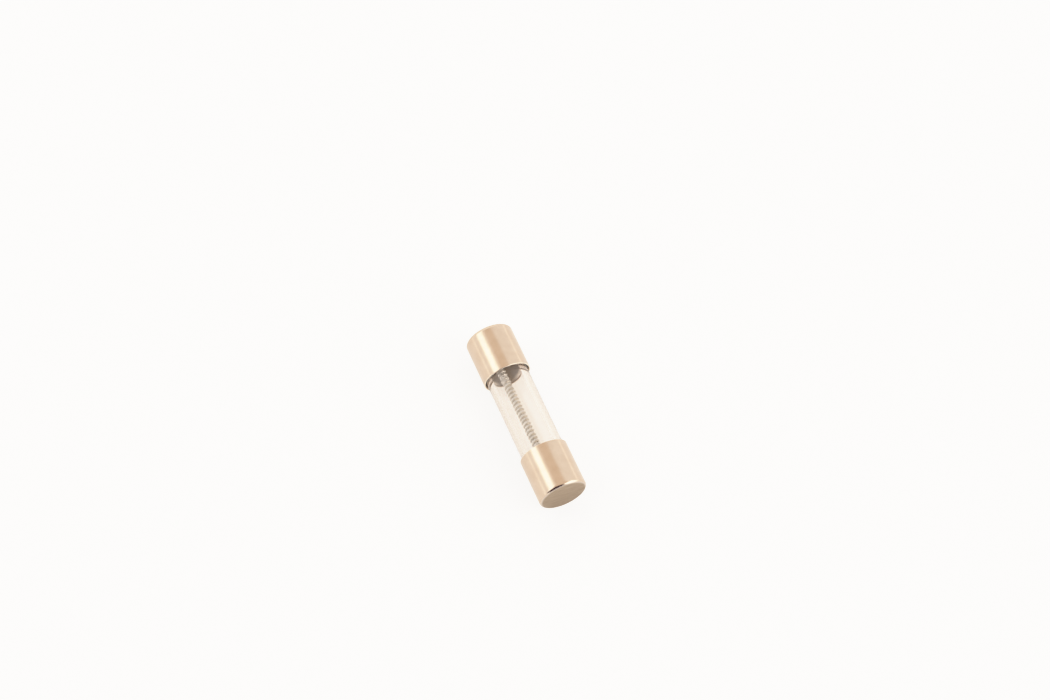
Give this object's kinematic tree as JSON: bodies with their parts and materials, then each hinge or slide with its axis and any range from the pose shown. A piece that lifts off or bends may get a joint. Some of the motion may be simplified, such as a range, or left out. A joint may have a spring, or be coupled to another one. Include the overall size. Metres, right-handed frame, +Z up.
{
  "type": "cartridge fuse",
  "caption": "Miniature glass cartridge fuse with two plated end caps and a wire element wound round a fibre core.",
  "frame": {"origin": "middle of the fuse, on the axis of its tube", "axes": "+X along the tube towards the front end cap, +Z up; the element lies slightly to the -Y side of the axis"},
  "size_m": [0.02, 0.0052, 0.0052],
  "materials": {
    "tube_glass": "polished",
    "cap_plating": "satin",
    "cement": "matte",
    "solder": "satin",
    "core_fibre": "matte",
    "element_metal": "satin"
  },
  "bodies": {
    "root": {"glass_tube": "tube_glass", "end_cap_front": "cap_plating", "end_cap_rear": "cap_plating", "cement_ring_front": "cement", "cement_ring_rear": "cement", "solder_joint_front": "solder", "solder_joint_rear": "solder", "element_core": "core_fibre", "element_wire": "element_metal"}
  },
  "joints": []
}
